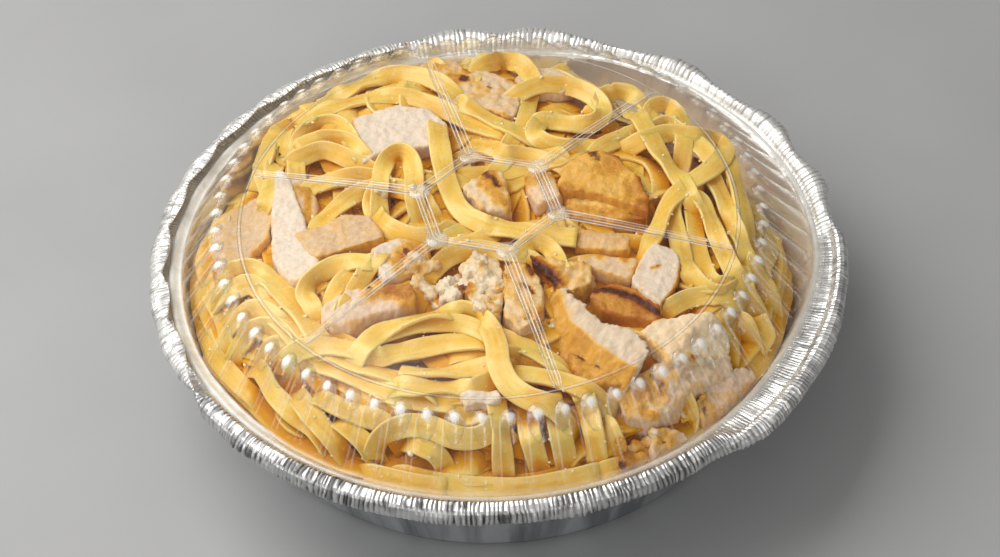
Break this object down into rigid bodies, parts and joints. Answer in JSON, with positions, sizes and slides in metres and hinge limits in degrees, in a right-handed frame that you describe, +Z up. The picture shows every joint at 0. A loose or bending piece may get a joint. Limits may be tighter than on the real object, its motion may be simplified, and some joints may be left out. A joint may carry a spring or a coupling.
{
  "type": "fettuccine alfredo with chicken in a lidded foil pan",
  "caption": "Round crimped foil pan heaped with fettuccine alfredo and sliced grilled chicken, closed by a clear shallow dome lid with a fluted wall.",
  "frame": {"origin": "centre of the flat underside of the pan", "axes": "+Z up along the pan's axis, -Y towards the front of the dish as shown, +X to its right"},
  "size_m": [0.2313, 0.2323, 0.0666],
  "materials": {
    "foil": "bright wrinkled foil",
    "clear_plastic": "clear glossy film",
    "pasta": "butter-yellow noodles glossy with cream sauce",
    "chicken": "pale cut meat with golden grilled skin"
  },
  "bodies": {
    "root": {"foil_pan": "foil", "dome_lid": "clear_plastic", "pasta_bed": "pasta", "chicken_01": "chicken", "chicken_02": "chicken", "chicken_03": "chicken", "chicken_04": "chicken", "chicken_05": "chicken", "chicken_06": "chicken", "chicken_07": "chicken", "chicken_08": "chicken", "chicken_09": "chicken", "chicken_10": "chicken", "chicken_11": "chicken", "chicken_12": "chicken", "chicken_13": "chicken", "chicken_14": "chicken", "chicken_15": "chicken", "chicken_16": "chicken", "chicken_17": "chicken", "chicken_18": "chicken", "chicken_19": "chicken", "chicken_20": "chicken", "chicken_21": "chicken", "chicken_22": "chicken", "chicken_23": "chicken", "chicken_24": "chicken", "chicken_25": "chicken", "chicken_26": "chicken", "chicken_27": "chicken"}
  },
  "joints": []
}
